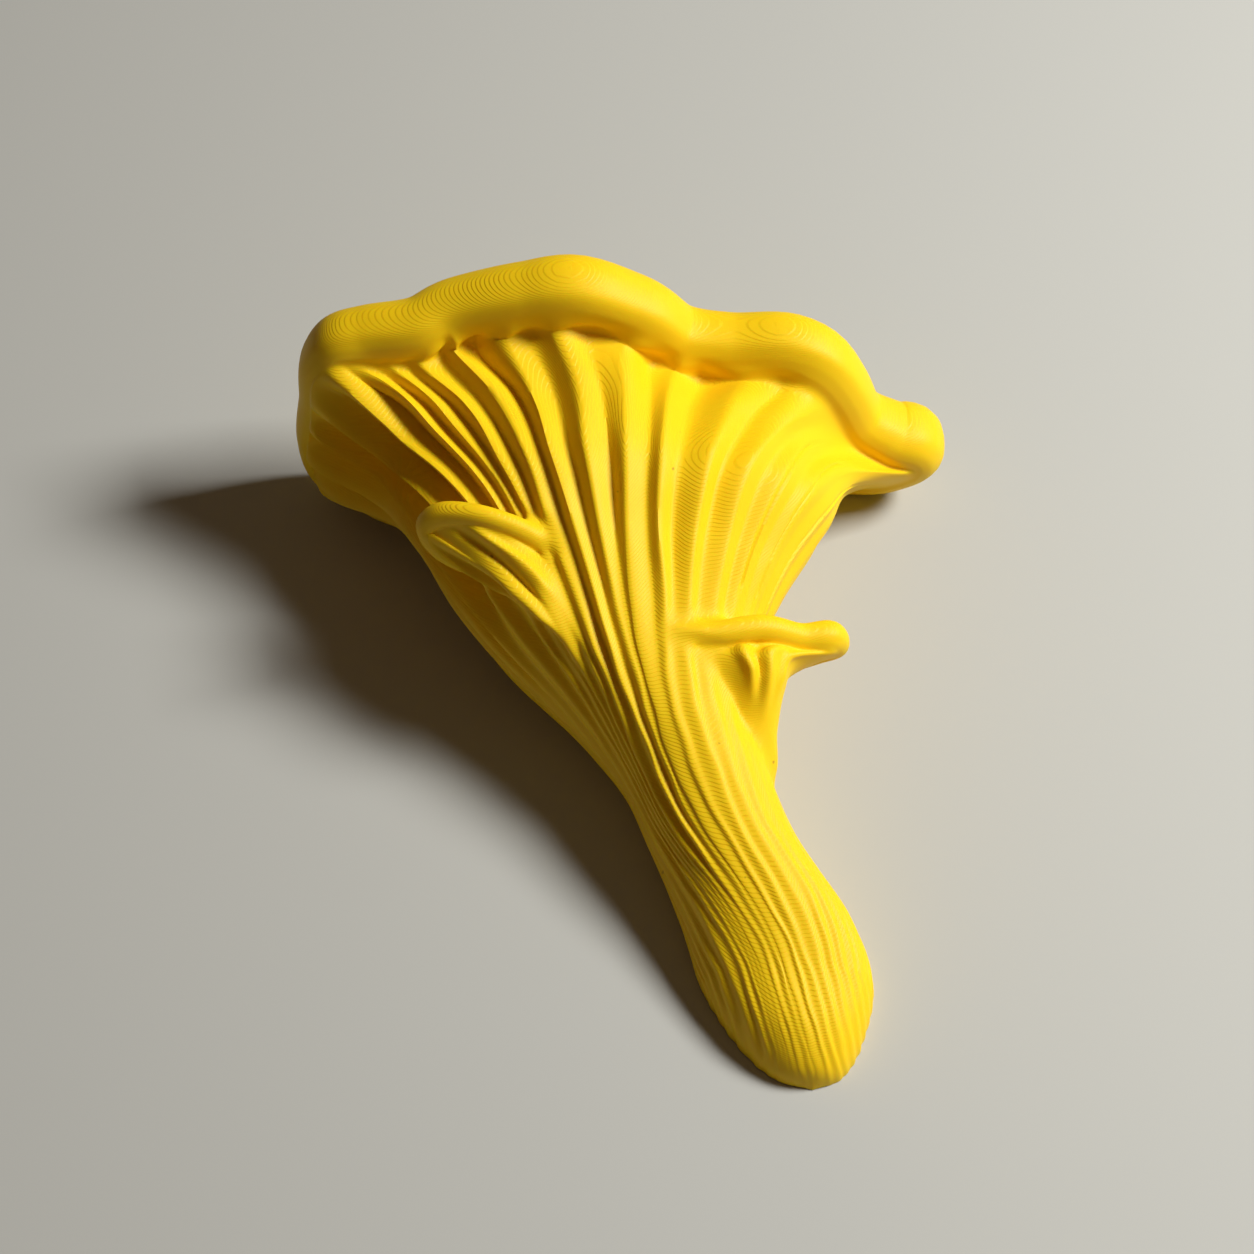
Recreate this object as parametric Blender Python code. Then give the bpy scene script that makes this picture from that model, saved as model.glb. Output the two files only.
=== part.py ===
# A printed plastic model of an oyster mushroom, lying on its flat back.
#
# The mushroom is one solid: a round foot, a ribbed stem and a fan of gills that ends in a thick rolled rim,
# with two small fronds growing from the stem's sides. It was made in one piece, so it is one object.
#
# Frame: metres, +Z up from the flat back, +Y from the foot to the cap, +X to the right as seen from the foot.
# The tables below are in millimetres, with Y measured from a point in the middle of the fan. FOOTPRINT_MIDDLE
# is the middle of the footprint in those numbers, and the finished solid is moved so that it is the origin.

import bpy
import numpy as np

MM = 0.001
FOOTPRINT_MIDDLE = (-0.71, -17.81)

# Stem and fan: one row for each section across the stem, from the foot's tip to the middle of the fan.
# Each is an ellipse cut flat at height 0. The skew turns the ribs round the stem, as a share of the way round.
STEM = np.array([
    # y, middle x, half-width left, half-width right, middle height, depth below it, top height, power, skew
    [-67.2, 22.9, 0.0, 0.0, 0.0, 0.1, 0.0, 2.0, -0.03],
    [-65.7, 22.6, 4.5, 4.0, 0.0, 3.0, 3.6, 2.0, -0.03],
    [-61.2, 21.6, 8.0, 7.7, 0.3, 6.0, 6.9, 2.0, -0.04],
    [-54.0, 20.0, 10.6, 10.8, 1.5, 8.0, 9.3, 2.0, -0.05],
    [-46.3, 17.5, 10.6, 10.8, 3.6, 8.5, 12.4, 2.0, -0.07],
    [-37.0, 12.5, 9.4, 9.6, 6.2, 9.0, 15.6, 2.0, -0.09],
    [-28.9, 8.7, 9.4, 10.2, 8.3, 10.0, 18.5, 2.0, -0.08],
    [-21.0, 4.2, 11.4, 11.9, 10.6, 12.0, 21.7, 2.0, -0.03],
    [-12.0, -0.2, 16.0, 17.2, 13.5, 15.0, 25.5, 2.0, 0.0],
    [-3.0, -1.2, 21.2, 22.3, 15.5, 17.0, 29.4, 1.95, 0.0],
    [6.0, -1.6, 26.0, 28.2, 16.5, 18.0, 33.0, 1.95, 0.0],
])

# Rims: the middle line of each rolled edge, going from the bottom round the left to the right.
FAN_RIM = np.array([
    # share of the way round, x, y, z, radius of the roll, turn at which it starts, hollow before it
    [0.00, -16.0, 23.5, -1.6, 3.0, -96, 0.0],
    [0.06, -27.0, 22.3, 1.8, 3.4, -96, 0.0],
    [0.11, -36.0, 22.2, 3.6, 3.8, -90, 0.0],
    [0.16, -39.9, 22.6, 6.8, 4.0, -80, 0.1],
    [0.21, -40.7, 23.0, 13.0, 4.1, -75, 0.1],
    [0.27, -39.7, 23.5, 20.8, 4.1, -75, 0.15],
    [0.32, -38.9, 24.4, 27.8, 4.0, -80, 0.2],
    [0.345, -37.2, 24.8, 30.6, 3.9, -90, 0.15],
    [0.37, -33.9, 25.1, 31.7, 3.9, -102, 0.15],
    [0.41, -27.2, 25.2, 33.2, 4.0, -112, 0.15],
    [0.45, -21.2, 27.0, 35.0, 4.2, -116, 0.15],
    [0.475, -13.2, 27.15, 37.5, 4.3, -118, 0.15],
    [0.497, -6.0, 27.2, 38.5, 4.4, -118, 0.15],
    [0.514, 0.4, 27.0, 35.4, 4.3, -114, 0.15],
    [0.550, 7.2, 26.5, 29.6, 4.1, -106, 0.2],
    [0.577, 13.5, 26.2, 28.4, 4.1, -104, 0.25],
    [0.608, 21.3, 25.8, 28.9, 4.0, -104, 0.35],
    [0.632, 25.6, 24.9, 26.8, 4.0, -104, 0.35],
    [0.655, 28.4, 24.0, 21.9, 4.1, -100, 0.2],
    [0.675, 30.5, 23.5, 16.4, 4.2, -96, 0.1],
    [0.700, 34.8, 23.0, 12.5, 4.8, -92, 0.0],
    [0.735, 38.2, 23.2, 10.6, 5.1, -90, 0.0],
    [0.79, 35.5, 24.2, 5.3, 4.6, -90, 0.0],
    [0.88, 27.0, 25.0, 2.0, 3.6, -90, 0.0],
    [1.00, 17.0, 24.5, -1.6, 3.0, -90, 0.0],
])
LEFT_RIM = np.array([
    [0.00, -14.6, -5.2, 22.4, 1.4, -105, 0.2],
    [0.08, -18.6, -4.7, 22.5, 1.5, -105, 0.2],
    [0.15, -21.2, -3.9, 22.8, 1.6, -106, 0.2],
    [0.22, -23.8, -2.6, 23.8, 1.7, -108, 0.2],
    [0.30, -25.2, -0.9, 25.9, 1.8, -108, 0.2],
    [0.38, -23.7, -0.7, 28.2, 1.6, -110, 0.3],
    [0.50, -19.2, -1.7, 29.8, 1.35, -110, 0.3],
    [0.62, -14.8, -2.7, 29.0, 1.35, -104, 0.2],
    [0.70, -12.0, -3.2, 27.4, 1.6, -100, 0.1],
    [0.78, -9.4, -3.8, 25.6, 1.7, -98, 0.1],
    [0.86, -7.8, -4.0, 23.6, 1.4, -95, 0.0],
    [0.93, -10.6, -4.6, 22.6, 1.3, -95, 0.0],
    [1.00, -14.6, -5.2, 22.4, 1.4, -105, 0.2],
])
RIGHT_RIM = np.array([
    [0.00, 15.5, -12.4, 10.0, 1.4, -100, 0.1],
    [0.12, 9.0, -13.6, 13.4, 1.4, -100, 0.1],
    [0.22, 4.6, -15.0, 18.4, 1.1, -100, 0.1],
    [0.30, 6.0, -14.9, 22.6, 1.1, -105, 0.1],
    [0.38, 10.8, -14.5, 21.9, 1.6, -108, 0.2],
    [0.48, 17.2, -13.1, 20.9, 1.7, -100, 0.2],
    [0.58, 22.2, -12.6, 18.1, 1.7, -92, 0.2],
    [0.68, 26.3, -11.7, 16.4, 2.05, -92, 0.2],
    [0.74, 27.1, -11.5, 14.0, 1.6, -100, 0.1],
    [0.82, 24.8, -11.0, 11.2, 1.4, -100, 0.1],
    [0.90, 20.4, -11.8, 9.8, 1.3, -100, 0.1],
    [1.00, 15.5, -12.4, 10.0, 1.4, -100, 0.1],
])

# Fronds: the sections of each small cone, from its root inside the stem to just below its rim.
LEFT_CONE = np.array([
    # middle, half-width, half-height
    ((4.0, -27.0, 15.0), (0.0, 0.0, 0.0), (0.0, 0.0, 0.0)),
    ((-2.6, -18.4, 17.4), (2.6, 0.6, -1.2), (-1.0, 0.5, 2.2)),
    ((-4.5, -15.0, 20.0), (3.5, 0.9, -1.6), (-1.2, 0.8, 2.6)),
    ((-6.8, -11.7, 22.0), (4.4, 1.0, -1.4), (-1.4, 0.9, 3.0)),
    ((-10.8, -8.4, 23.4), (5.0, 0.6, -0.8), (-1.2, 0.8, 3.4)),
])
RIGHT_CONE = np.array([
    ((12.6, -36.0, 6.0), (0.0, 0.0, 0.0), (0.0, 0.0, 0.0)),
    ((14.3, -28.8, 8.4), (4.4, 0.0, -0.7), (0.6, 0.0, 3.9)),
    ((15.0, -23.5, 11.5), (4.0, 0.2, -0.4), (1.4, 0.0, 4.8)),
    ((14.9, -19.4, 14.6), (5.0, 0.4, -0.8), (1.7, 0.0, 5.4)),
    ((15.0, -17.0, 16.2), (6.6, 1.0, -1.2), (1.4, 0.2, 5.0)),
])

# The roll is drawn by turning round the rim's middle line: 0 points outward, -90 at the gills, 90 at the cap.
# It starts wide of the roll, so that the gills meet it in a hollow.
ROLL_END_TURN = 85
FAN_ROLL_POWER = 2.4
FROND_ROLL_POWER = 2.0
ROLL = (
    # share of the turning done, share of the hollow, step along the surface after it
    (0.0, 1.0, 0.5), (0.1, 0.25, 0.4), (0.22, 0.0, 0.45), (0.4, 0.0, 0.45), (0.6, 0.0, 0.45), (0.8, 0.0, 0.45),
    (1.0, 0.0, 0.6),
)
FAN_TO_ROLL = 0.7
# Between the last section and the roll the fan flares: it goes up first and outward later.
FLARE = (0.42, 0.62, 0.42)
CONE_TO_ROLL = 0.9
CAP_SHARES = (0.85, 0.6, 0.3, 0.0)
CAP_STEPS = (0.8, 0.8, 0.8, 0.0)
FAN_MIDDLE = (-1.0, 26.0, 18.0)
FAN_CAP_DIPS = (0.3, 2.0, 4.0, 5.0)
FROND_CAP_DIPS = (0.2, 0.8, 1.6, 2.0)

# Gill crests: one row for each crest, with its share of the way round at each of the places along the surface.
CREST_PLACES = (2.6, 3.2, 4.0, 5.0, 6.0, 7.0, 8.0, 9.0, 10.0, 10.75, 11.5, 12.2)
CRESTS = np.array([
    [0.000, 0.000, 0.000, 0.000, 0.000, 0.000, 0.000, 0.000, 0.000, 0.000, 0.000, 0.000],
    [0.040, 0.040, 0.040, 0.040, 0.040, 0.040, 0.040, 0.040, 0.040, 0.040, 0.040, 0.040],
    [0.080, 0.080, 0.080, 0.080, 0.080, 0.080, 0.080, 0.080, 0.080, 0.080, 0.080, 0.080],
    [0.120, 0.120, 0.120, 0.120, 0.120, 0.120, 0.120, 0.120, 0.118, 0.116, 0.118, 0.120],
    [0.165, 0.165, 0.162, 0.160, 0.160, 0.160, 0.160, 0.160, 0.156, 0.152, 0.162, 0.165],
    [0.210, 0.210, 0.205, 0.200, 0.200, 0.200, 0.200, 0.200, 0.196, 0.190, 0.208, 0.215],
    [0.262, 0.262, 0.255, 0.250, 0.246, 0.245, 0.245, 0.243, 0.243, 0.240, 0.253, 0.262],
    [0.325, 0.325, 0.318, 0.310, 0.305, 0.300, 0.300, 0.305, 0.290, 0.274, 0.288, 0.294],
    [0.372, 0.376, 0.362, 0.345, 0.340, 0.342, 0.346, 0.352, 0.331, 0.316, 0.330, 0.336],
    [0.404, 0.406, 0.386, 0.362, 0.358, 0.362, 0.368, 0.376, 0.360, 0.348, 0.361, 0.366],
    [0.420, 0.423, 0.402, 0.376, 0.373, 0.377, 0.384, 0.391, 0.376, 0.369, 0.386, 0.393],
    [0.434, 0.436, 0.418, 0.393, 0.390, 0.400, 0.410, 0.405, 0.391, 0.394, 0.404, 0.414],
    [0.448, 0.450, 0.432, 0.409, 0.406, 0.418, 0.428, 0.422, 0.418, 0.418, 0.426, 0.438],
    [0.474, 0.482, 0.461, 0.452, 0.452, 0.450, 0.459, 0.451, 0.441, 0.449, 0.463, 0.469],
    [0.508, 0.514, 0.497, 0.486, 0.484, 0.484, 0.487, 0.479, 0.473, 0.480, 0.484, 0.486],
    [0.524, 0.530, 0.514, 0.503, 0.501, 0.501, 0.507, 0.510, 0.510, 0.512, 0.515, 0.522],
    [0.566, 0.568, 0.550, 0.556, 0.549, 0.546, 0.555, 0.544, 0.540, 0.544, 0.549, 0.551],
    [0.605, 0.600, 0.590, 0.603, 0.608, 0.588, 0.590, 0.586, 0.584, 0.589, 0.586, 0.584],
    [0.645, 0.645, 0.645, 0.650, 0.650, 0.640, 0.634, 0.627, 0.622, 0.637, 0.645, 0.648],
    [0.690, 0.690, 0.690, 0.690, 0.690, 0.685, 0.672, 0.664, 0.665, 0.668, 0.672, 0.676],
    [0.733, 0.731, 0.730, 0.730, 0.730, 0.722, 0.710, 0.701, 0.706, 0.701, 0.700, 0.705],
    [0.775, 0.773, 0.770, 0.770, 0.770, 0.762, 0.750, 0.742, 0.757, 0.760, 0.760, 0.760],
    [0.818, 0.814, 0.810, 0.810, 0.810, 0.802, 0.792, 0.785, 0.800, 0.808, 0.810, 0.810],
    [0.860, 0.858, 0.855, 0.855, 0.855, 0.850, 0.845, 0.840, 0.850, 0.856, 0.858, 0.858],
    [0.905, 0.905, 0.905, 0.905, 0.905, 0.905, 0.905, 0.905, 0.905, 0.905, 0.905, 0.905],
    [0.950, 0.950, 0.950, 0.950, 0.950, 0.950, 0.950, 0.950, 0.950, 0.950, 0.950, 0.950],
    [1.000, 1.000, 1.000, 1.000, 1.000, 1.000, 1.000, 1.000, 1.000, 1.000, 1.000, 1.000],
])
# Where the valley lies between a crest and the next one.
VALLEY_SHARES = np.array([
    0.5, 0.5, 0.5, 0.55, 0.6, 0.6, 0.5, 0.6, 0.54, 0.54, 0.54, 0.5, 0.6, 0.52, 0.6, 0.68, 0.42, 0.4, 0.5, 0.5, 0.5,
    0.5, 0.5, 0.5, 0.5, 0.5,
])
FULL_GAP = 0.034
STEM_GILL_SIZES = ((0.0, 0.4), (0.2, 0.6), (0.42, 1.2), (0.47, 1.2), (0.51, 0.5), (0.6, 0.5), (0.7, 0.3), (1.0, 0.2))
FAN_GILL_SIZES = (
    # share of the way round, size
    (0.0, 0.6), (0.08, 1.3), (0.2, 1.4), (0.3, 1.3), (0.43, 1.1), (0.5, 0.95), (0.55, 0.85), (0.6, 0.8),
    (0.65, 0.6), (0.7, 0.45), (0.8, 0.4), (0.96, 0.3), (1.0, 0.2),
)
GILL_HEIGHTS = (
    # place along the surface, height
    (0.0, 0.0), (2.0, 0.0), (3.0, 0.4), (6.0, 0.5), (8.0, 0.8), (9.5, 1.4), (11.0, 1.6), (11.5, 1.2), (12.1, 0.0),
)
LEFT_FROND_LINES = (
    (0.9, 0.040, ((2.0, 0.300), (2.6, 0.300), (3.2, 0.300), (3.8, 0.305), (4.5, 0.320))),
    (0.6, 0.040, ((2.9, 0.450), (3.3, 0.455), (3.7, 0.465), (4.3, 0.490), (5.2, 0.530))),
    (-1.0, 0.055, ((1.4, 0.560), (2.6, 0.580), (3.4, 0.600), (4.0, 0.640), (4.9, 0.700))),
)
RIGHT_FROND_LINES = (
    (0.8, 0.024, ((2.2, 0.470), (3.3, 0.475), (4.0, 0.460), (4.7, 0.430), (5.4, 0.415))),
    (0.7, 0.030, ((1.8, 0.535), (3.0, 0.545), (3.8, 0.547), (4.6, 0.540), (5.4, 0.530))),
    (0.5, 0.024, ((2.2, 0.600), (3.4, 0.625), (4.4, 0.620), (5.2, 0.615))),
)

# Facets: sections along each piece, and points round it. Four points to a gill catch its crest and its valley.
POINTS_TO_A_GILL = 4
SURFACE_COLUMNS = 801
FAN_SECTIONS = ((0.0, 3.0, 7), (3.0, 11.7, 20), (11.7, 14.4, 8), (14.4, 17.4, 4))
BACK_POINTS = 3
FROND_POINTS = 36
FROND_SECTIONS = ((0.0, 4.9, 9), (4.9, 7.6, 7), (7.6, 10.6, 3))

PLASTIC_COLOUR = (0.86, 0.58, 0.008, 1.0)
PLASTIC_ROUGHNESS = 0.5


def curve(t, knots, values):
    """A smooth line through the values at the knots: each cubic takes its slopes from the neighbouring values."""
    knots = np.asarray(knots, float)
    values = np.asarray(values, float)
    slopes = np.gradient(values, knots, axis=0)
    i = np.clip(np.searchsorted(knots, t, side="right") - 1, 0, len(knots) - 2)
    gap = knots[i + 1] - knots[i]
    s = (t - knots[i]) / gap
    same_shape = (...,) + (None,) * (values.ndim - 1)
    gap = gap[same_shape]
    s = s[same_shape]
    start = (1 + 2 * s) * (1 - s) ** 2 * values[i] + s * (1 - s) ** 2 * gap * slopes[i]
    return start + s * s * (3 - 2 * s) * values[i + 1] + s * s * (s - 1) * gap * slopes[i + 1]


def ramp(t, low, high):
    """0 below low, 1 above high, and smooth between."""
    s = np.clip((t - low) / (high - low), 0, 1)
    return s * s * (3 - 2 * s)


def stops(spans):
    """Places along a surface: each span is cut into its number of equal steps."""
    parts = [np.linspace(low, high, steps, endpoint=False) for low, high, steps in spans]
    return np.append(np.concatenate(parts), spans[-1][1])


def signed_power(x, power):
    return np.sign(x) * np.abs(x) ** power


def stem_section(u, row):
    """An ellipse cut flat at height 0, from its left foot at u = 0 over the top to its right foot at u = 1."""
    y, middle, left, right, height, below, top, power, skew = row
    dip = np.arcsin(min(height / below, 1.0))
    turned = u + skew * 4 * u * (1 - u)
    angle = np.pi + dip - turned * (np.pi + 2 * dip)
    across = signed_power(np.cos(angle), 2 / power)
    up = signed_power(np.sin(angle), 2 / power)
    x = middle + np.where(across < 0, left, right) * across
    z = height + np.where(up < 0, below, top - height) * up
    return np.stack([x, np.full_like(x, y), np.maximum(z, 0)], -1)


def cone_sections(u, cone):
    """Plain ellipses, from the bottom at u = 0 round the left, the top and the right."""
    angle = 2 * np.pi * u[:, None]
    return [middle - np.cos(angle) * tall - np.sin(angle) * wide for middle, wide, tall in cone]


def closed_rim(rim):
    """The rim with two more points at each end, so that it runs on smoothly where it closes."""
    one_turn = np.array([1.0, 0, 0, 0, 0, 0, 0])
    return np.concatenate([rim[-3:-1] - one_turn, rim, rim[1:3] + one_turn])


def roll_line(rim, u, share, hollow_share, power):
    """A line along the rolled rim, when a share of its turning is done. Power 2 rolls a circle, more a squarer one."""
    middle = curve(u, rim[:, 0], rim[:, 1:])
    step = 0.001
    ahead = curve(u + step, rim[:, 0], rim[:, 1:4]) - curve(u - step, rim[:, 0], rim[:, 1:4])
    ahead /= np.linalg.norm(ahead, axis=-1, keepdims=True)
    capward = np.array([0.0, 1.0, 0.0]) - ahead * ahead[:, 1:2]
    capward /= np.linalg.norm(capward, axis=-1, keepdims=True)
    outward = np.cross(ahead, capward)
    radius, start, hollow = middle[:, 3:].T[..., None]
    angle = np.radians(start + share * (ROLL_END_TURN - start))
    away = radius * (1 + hollow_share * hollow)
    out, up = signed_power(np.cos(angle), 2 / power), signed_power(np.sin(angle), 2 / power)
    return middle[:, :3] + away * (out * outward + up * capward)


def with_roll_and_cap(rings, rim, u, power, to_roll, cap_middle, dips):
    """Adds the roll and the shallow cap top to the rings. Returns their places along the surface, and all rings."""
    rings = list(rings)
    steps = [1.0] * (len(rings) - 1) + [to_roll]
    for share, hollow_share, step in ROLL:
        rings.append(roll_line(rim, u, share, hollow_share, power))
        steps.append(step)
    edge = rings[-1]
    for share, dip, step in zip(CAP_SHARES, dips, CAP_STEPS):
        ring = cap_middle + (edge - cap_middle) * share
        ring[:, 1] -= dip
        rings.append(ring)
        steps.append(step)
    places = np.append(0.0, np.cumsum(steps[:-1]))
    return places, np.array(rings)


def outward_normals(grid):
    across = np.cross(np.gradient(grid, axis=1), np.gradient(grid, axis=0))
    return across / np.maximum(np.linalg.norm(across, axis=-1, keepdims=True), 1e-9)


def line_heights(u, v, lines):
    """The ridges and grooves that have a line of their own: a bell across each line, fading out at both ends."""
    total = np.zeros_like(u)
    for height, width, line in lines:
        along, around = np.array(line).T
        fade = 0.35 * (along[-1] - along[0])
        shown = ramp(v, along[0], along[0] + fade) * (1 - ramp(v, along[-1] - fade, along[-1]))
        total += height * shown * np.exp(-((u - curve(v, along, around)) / width) ** 2)
    return total


def crest_rows(v):
    """Crests and valleys by turns, one row for each place along: their shares of the way round."""
    crests = curve(np.clip(v, CREST_PLACES[0], CREST_PLACES[-1]), CREST_PLACES, CRESTS.T)
    rows = np.empty((len(v), 2 * len(CRESTS) - 1))
    rows[:, 0::2] = crests
    rows[:, 1::2] = crests[:, :-1] + VALLEY_SHARES * np.diff(crests, axis=1)
    return rows


def gill_height(u, v, rows, turns):
    """Height of the gills where turns counts crests and valleys: half a wave from each to the next. Crests that
    lie close together have a shallow valley."""
    deep = np.clip(np.diff(rows[:, 0::2], axis=1) / FULL_GAP, 0, 1.15) ** 1.5
    valleys = np.arange(1, rows.shape[1], 2)
    deep = np.array([np.interp(turns, valleys, line) for line in deep])
    on_stem = 1 - ramp(v, 7.0, 9.0)
    size = on_stem * np.interp(u, *np.array(STEM_GILL_SIZES).T)
    size += (1 - on_stem) * np.interp(u, *np.array(FAN_GILL_SIZES).T)
    return np.interp(v, *np.array(GILL_HEIGHTS).T) * size * deep * 0.5 * np.cos(np.pi * turns)


def fan_grid(v, turns):
    """The body as rows of points, from the foot's tip to the middle of the cap's top. The columns follow the gills,
    so that the facets' edges lie on their crests and in their valleys."""
    u = np.linspace(0, 1, SURFACE_COLUMNS)
    rings = [stem_section(u, row) for row in STEM]
    rings.append(rings[-1] + (roll_line(FAN_RIM, u, 0.0, 1.0, FAN_ROLL_POWER) - rings[-1]) * np.array(FLARE))
    middle = np.array(FAN_MIDDLE)
    places, rings = with_roll_and_cap(rings, FAN_RIM, u, FAN_ROLL_POWER, FAN_TO_ROLL, middle, FAN_CAP_DIPS)
    rings[:-len(CAP_SHARES), :, 2] = np.maximum(rings[:-len(CAP_SHARES), :, 2], 0)
    surface = curve(v, places, rings)
    rows = crest_rows(v)
    columns = np.array([np.interp(turns, np.arange(rows.shape[1]), row) for row in rows])
    both = np.concatenate([surface, outward_normals(surface)], axis=-1)
    both = np.array([[np.interp(c, u, line[:, k]) for k in range(6)] for c, line in zip(columns, both)])
    grid, normals = both[:, :3].transpose(0, 2, 1).copy(), both[:, 3:].transpose(0, 2, 1)
    heights = gill_height(columns, np.broadcast_to(v[:, None], columns.shape), rows, turns)
    grid += heights[..., None] * normals
    grid[..., 2] = np.maximum(grid[..., 2], 0)
    flat = v < places[-len(CAP_SHARES)] - 0.01
    grid[flat, 0, 2] = 0
    grid[flat, -1, 2] = 0
    return grid


def with_flat_back(grid, points):
    """Closes each row along the bed, with points spaced evenly from its right foot to its left foot."""
    shares = np.linspace(0, 1, points + 2)[1:-1, None]
    back = grid[:, -1:] + (grid[:, :1] - grid[:, -1:]) * shares
    return np.concatenate([grid, back], axis=1)


def frond_grid(cone, rim, lines, u, v):
    """A small frond: its ridged cone, rolled rim and cap top."""
    rim = closed_rim(rim)
    rings = cone_sections(u, cone)
    middle = rim[2:-3, 1:4].mean(axis=0)
    places, rings = with_roll_and_cap(rings, rim, u, FROND_ROLL_POWER, CONE_TO_ROLL, middle, FROND_CAP_DIPS)
    grid = curve(v, places, rings)
    along, around = np.meshgrid(v, u, indexing="ij")
    return grid + line_heights(around, along, lines)[..., None] * outward_normals(grid)


def closed_mesh(name, grid):
    """A mesh from closed rows of points. The first and the last row each become a single point."""
    rows, round_ = grid.shape[:2]
    points = np.concatenate([grid[:1, 0], grid[1:-1].reshape(-1, 3), grid[-1:, 0]])
    points = (points - np.array([*FOOTPRINT_MIDDLE, 0.0])) * MM
    first = 1 + np.arange(rows - 2)[:, None] * round_ + np.arange(round_)
    after = np.roll(first, -1, axis=1)
    sides = np.stack([first[:-1], after[:-1], after[1:], first[1:]], -1).reshape(-1, 4)
    last = len(points) - 1
    start_fan = [(0, b, a) for a, b in zip(first[0].tolist(), after[0].tolist())]
    end_fan = [(last, a, b) for a, b in zip(first[-1].tolist(), after[-1].tolist())]
    mesh = bpy.data.meshes.new(name)
    mesh.from_pydata(points.tolist(), [], sides.tolist() + start_fan + end_fan)
    mesh.validate()
    mesh.shade_smooth()
    obj = bpy.data.objects.new(name, mesh)
    bpy.context.scene.collection.objects.link(obj)
    return obj


def joined(body, others):
    """One solid from the body and the pieces that grow out of it."""
    group = bpy.data.collections.new("growing_from_stem")
    for other in others:
        bpy.context.scene.collection.objects.unlink(other)
        group.objects.link(other)
    union = body.modifiers.new("fuse_fronds", "BOOLEAN")
    union.operation = "UNION"
    union.operand_type = "COLLECTION"
    union.collection = group
    graph = bpy.context.evaluated_depsgraph_get()
    fused = bpy.data.meshes.new_from_object(body.evaluated_get(graph))
    body.modifiers.clear()
    body.data = fused
    for other in others:
        bpy.data.objects.remove(other)
    bpy.data.collections.remove(group)
    return body


def plastic():
    material = bpy.data.materials.new("yellow_plastic")
    material.use_nodes = True
    shader = material.node_tree.nodes["Principled BSDF"]
    shader.inputs["Base Color"].default_value = PLASTIC_COLOUR
    shader.inputs["Roughness"].default_value = PLASTIC_ROUGHNESS
    return material


def main():
    for obj in list(bpy.data.objects):
        bpy.data.objects.remove(obj)
    fan_columns = np.linspace(0, 2 * (len(CRESTS) - 1), POINTS_TO_A_GILL * (len(CRESTS) - 1) + 1)
    fan = closed_mesh("oyster_mushroom", with_flat_back(fan_grid(stops(FAN_SECTIONS), fan_columns), BACK_POINTS))
    around = np.linspace(0, 1, FROND_POINTS, endpoint=False)
    along = stops(FROND_SECTIONS)
    left = closed_mesh("left_frond", frond_grid(LEFT_CONE, LEFT_RIM, LEFT_FROND_LINES, around, along))
    right = closed_mesh("right_frond", frond_grid(RIGHT_CONE, RIGHT_RIM, RIGHT_FROND_LINES, around, along))
    mushroom = joined(fan, [left, right])
    mushroom.data.materials.clear()
    mushroom.data.materials.append(plastic())


main()
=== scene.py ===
# %% [markdown]
# # A printed oyster mushroom, lying on its back
#
# The object is a plastic model of an oyster mushroom: a round foot, a ribbed stem that bends as it rises,
# two small side fronds, and a wide fan of gills that ends in a thick rolled rim. A 3-D printer made it in
# one piece out of yellow plastic, so the surface also carries the fine steps of the print layers.
#
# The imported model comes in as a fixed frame. It already has the right size and place, so everything made
# here is measured in the same frame: metres, +Z up, +Y from the foot to the cap.

import math

import bpy
import numpy as np
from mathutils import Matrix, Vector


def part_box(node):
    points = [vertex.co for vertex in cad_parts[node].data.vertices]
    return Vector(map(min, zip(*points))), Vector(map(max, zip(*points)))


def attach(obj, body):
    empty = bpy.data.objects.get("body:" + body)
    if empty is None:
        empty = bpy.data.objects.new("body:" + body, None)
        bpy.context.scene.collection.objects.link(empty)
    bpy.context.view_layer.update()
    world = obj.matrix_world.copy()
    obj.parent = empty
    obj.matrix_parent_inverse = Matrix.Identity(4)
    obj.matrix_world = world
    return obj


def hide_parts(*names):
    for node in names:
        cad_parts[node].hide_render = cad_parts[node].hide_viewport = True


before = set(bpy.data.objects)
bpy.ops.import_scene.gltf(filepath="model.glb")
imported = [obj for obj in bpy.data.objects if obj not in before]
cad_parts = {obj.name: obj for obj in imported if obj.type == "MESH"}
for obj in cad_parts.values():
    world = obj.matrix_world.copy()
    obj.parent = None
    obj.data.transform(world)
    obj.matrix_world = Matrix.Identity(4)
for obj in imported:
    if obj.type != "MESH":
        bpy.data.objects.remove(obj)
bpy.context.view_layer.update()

# %% [markdown]
# ## Camera
#
# The photographer stood at the foot's end and looked steeply down, so the foot is near and the cap is far.
# A camera is easiest to place backwards: choose the point of the table that is in the middle of the
# picture, then step back from it along the line of sight. The lens follows from the distance: what fills
# the frame at that distance fixes the angle of view.

# %% Camera
MM = 0.001
LOOK_DOWN = math.radians(58.0)
SENSOR_WIDTH = 36.0
PICTURE_PIXELS = 1254
LENS_PIXELS = 2950.0
PIXELS_TO_A_MM = 7.4
table_point = np.array([0.71, 17.81, 0.0]) * MM
away = MM * LENS_PIXELS / PIXELS_TO_A_MM

camera = bpy.data.objects.new("camera", bpy.data.cameras.new("camera"))
bpy.context.scene.collection.objects.link(camera)
camera.location = table_point + away * np.array([0.0, -math.cos(LOOK_DOWN), math.sin(LOOK_DOWN)])
camera.rotation_euler = (math.pi / 2 - LOOK_DOWN, 0.0, 0.0)
camera.data.sensor_width = SENSOR_WIDTH
camera.data.lens = SENSOR_WIDTH * LENS_PIXELS / PICTURE_PIXELS
camera.data.clip_start = 0.01
bpy.context.scene.camera = camera
print(f"camera {away / MM:.0f} mm away, lens {camera.data.lens:.1f} mm")

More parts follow.
